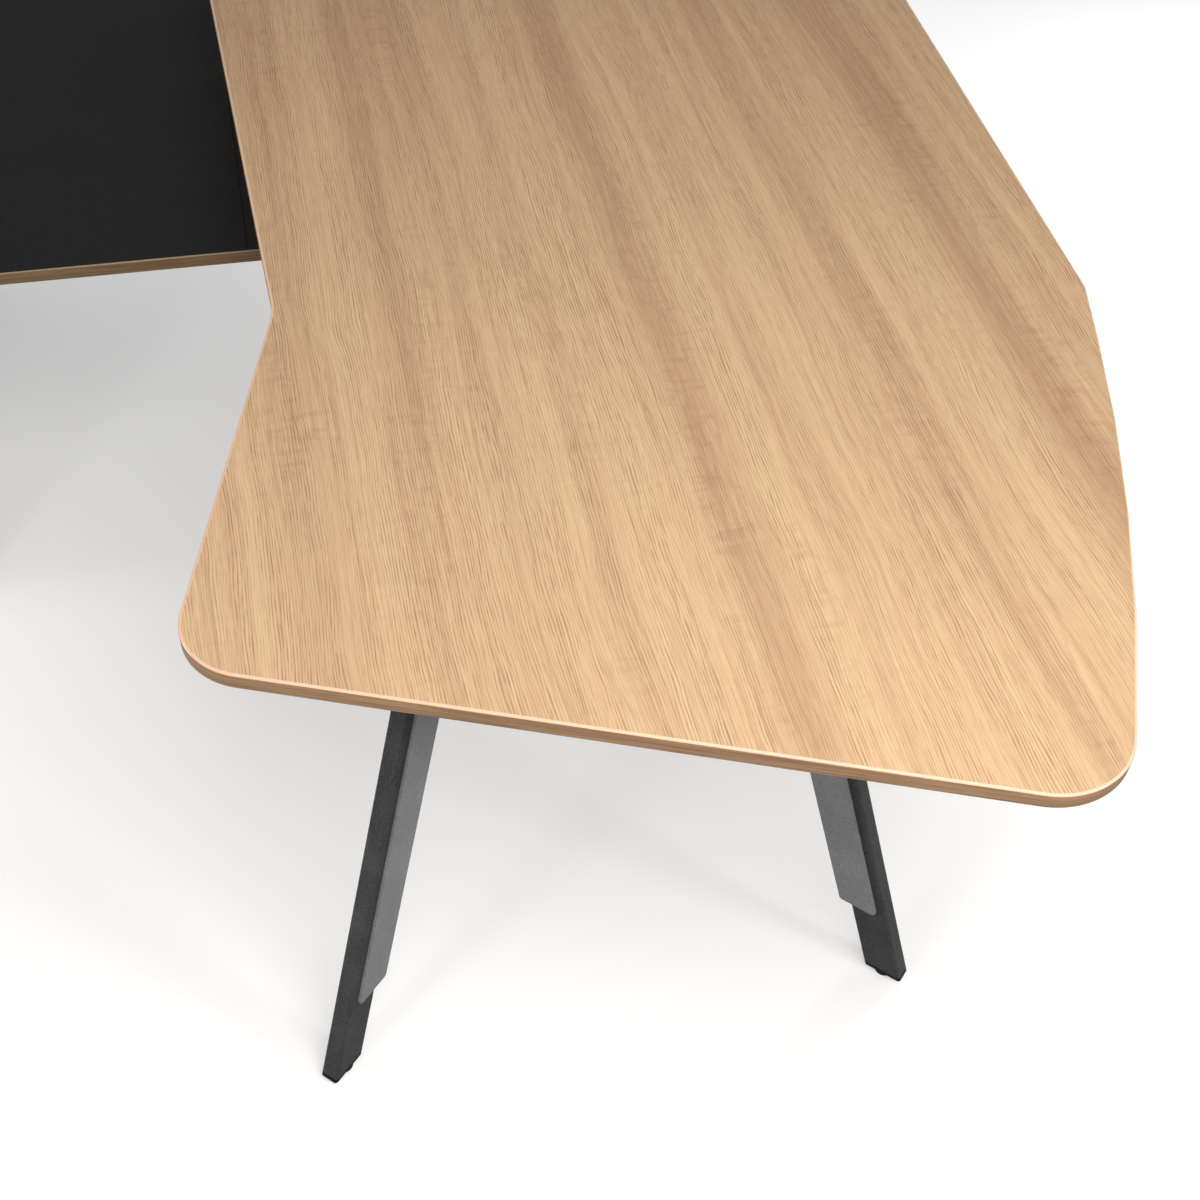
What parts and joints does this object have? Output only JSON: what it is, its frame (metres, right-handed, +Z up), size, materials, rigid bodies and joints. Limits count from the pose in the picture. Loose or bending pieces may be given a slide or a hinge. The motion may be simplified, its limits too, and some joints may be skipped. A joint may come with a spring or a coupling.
{
  "type": "corner desk",
  "caption": "Corner desk: bent wood-faced main top on splayed steel legs, with a lower black-topped return that ends on a drawer pedestal.",
  "frame": {"origin": "middle of the whole desk's footprint, on the floor", "axes": "+Z up; +Y along the main top's grain, from its near end to its far end, where the return is; the return runs out towards -X"},
  "size_m": [1.964, 2.0906, 0.75],
  "materials": {
    "oak": "light oak decor, satin, open pores along the grain",
    "oak_edge": "oak lipping, satin, arris rounded",
    "black_inlay": "black laminate with a fine woven emboss, matt",
    "dark_board": "black melamine-faced board, fine matt texture",
    "drawer_board": "light grey melamine-faced board, matt",
    "leg_paint": "charcoal powder coat, fine texture",
    "plate_paint": "mid grey powder coat, fine texture",
    "frame_paint": "dark powder coat, matt",
    "black_plastic": "moulded black plastic, fine matt",
    "zinc": "zinc-plated pressed steel"
  },
  "bodies": {
    "desk": {"main_top_board": "oak", "main_top_edge_band": "oak_edge", "leg_tube_near_left": "leg_paint", "leg_tube_near_right": "leg_paint", "leg_tube_far_left": "leg_paint", "leg_tube_far_right": "leg_paint", "leg_plate_near_left": "plate_paint", "leg_plate_near_right": "plate_paint", "leg_plate_far_left": "plate_paint", "leg_plate_far_right": "plate_paint", "foot_cap_near_left": "black_plastic", "foot_cap_near_right": "black_plastic", "foot_cap_far_left": "black_plastic", "foot_cap_far_right": "black_plastic", "head_frame_near": "frame_paint", "head_frame_far": "frame_paint", "long_beam_left": "frame_paint", "long_beam_right": "frame_paint", "return_board": "dark_board", "return_inlay": "black_inlay", "return_end_inlay": "black_inlay", "return_edge_front": "oak_edge", "return_edge_back": "oak_edge", "return_edge_left": "oak_edge", "return_rail_1": "frame_paint", "return_rail_2": "frame_paint", "return_hanger_1": "frame_paint", "return_hanger_2": "frame_paint", "pedestal_side_left": "dark_board", "pedestal_side_right": "dark_board", "pedestal_bottom": "dark_board", "pedestal_top": "dark_board", "pedestal_back": "dark_board", "pedestal_foot_front_left": "black_plastic", "pedestal_foot_front_right": "black_plastic", "pedestal_foot_back_left": "black_plastic", "pedestal_foot_back_right": "black_plastic", "runner_rail_lower_left": "zinc", "runner_rail_lower_right": "zinc", "runner_rail_upper_left": "zinc", "runner_rail_upper_right": "zinc"},
    "drawer_lower": {"drawer_box_lower": "drawer_board", "drawer_front_lower": "oak", "handle_lower": "leg_paint", "runner_slide_lower_left": "zinc", "runner_slide_lower_right": "zinc"},
    "drawer_upper": {"drawer_box_upper": "drawer_board", "drawer_front_upper": "oak", "handle_upper": "leg_paint", "runner_slide_upper_left": "zinc", "runner_slide_upper_right": "zinc"},
    "leveller_near_left": {"glide_near_left": "black_plastic"},
    "leveller_near_right": {"glide_near_right": "black_plastic"},
    "leveller_far_left": {"glide_far_left": "black_plastic"},
    "leveller_far_right": {"glide_far_right": "black_plastic"},
    "leveller_pedestal_front_left": {"pedestal_glide_front_left": "black_plastic"},
    "leveller_pedestal_front_right": {"pedestal_glide_front_right": "black_plastic"},
    "leveller_pedestal_back_left": {"pedestal_glide_back_left": "black_plastic"},
    "leveller_pedestal_back_right": {"pedestal_glide_back_right": "black_plastic"}
  },
  "joints": [
    {"name": "drawer_lower_slide", "type": "slide", "parent": "desk", "child": "drawer_lower", "axis": [0, -1, 0], "range_m": [0, 0.42]},
    {"name": "drawer_upper_slide", "type": "slide", "parent": "desk", "child": "drawer_upper", "axis": [0, -1, 0], "range_m": [0, 0.42]},
    {"name": "level_near_left", "type": "slide", "parent": "desk", "child": "leveller_near_left", "axis": [0, 0, -1], "range_m": [0, 0.01]},
    {"name": "level_near_right", "type": "slide", "parent": "desk", "child": "leveller_near_right", "axis": [0, 0, -1], "range_m": [0, 0.01]},
    {"name": "level_far_left", "type": "slide", "parent": "desk", "child": "leveller_far_left", "axis": [0, 0, -1], "range_m": [0, 0.01]},
    {"name": "level_far_right", "type": "slide", "parent": "desk", "child": "leveller_far_right", "axis": [0, 0, -1], "range_m": [0, 0.01]},
    {"name": "level_pedestal_front_left", "type": "slide", "parent": "desk", "child": "leveller_pedestal_front_left", "axis": [0, 0, -1], "range_m": [0, 0.01]},
    {"name": "level_pedestal_front_right", "type": "slide", "parent": "desk", "child": "leveller_pedestal_front_right", "axis": [0, 0, -1], "range_m": [0, 0.01]},
    {"name": "level_pedestal_back_left", "type": "slide", "parent": "desk", "child": "leveller_pedestal_back_left", "axis": [0, 0, -1], "range_m": [0, 0.01]},
    {"name": "level_pedestal_back_right", "type": "slide", "parent": "desk", "child": "leveller_pedestal_back_right", "axis": [0, 0, -1], "range_m": [0, 0.01]}
  ]
}
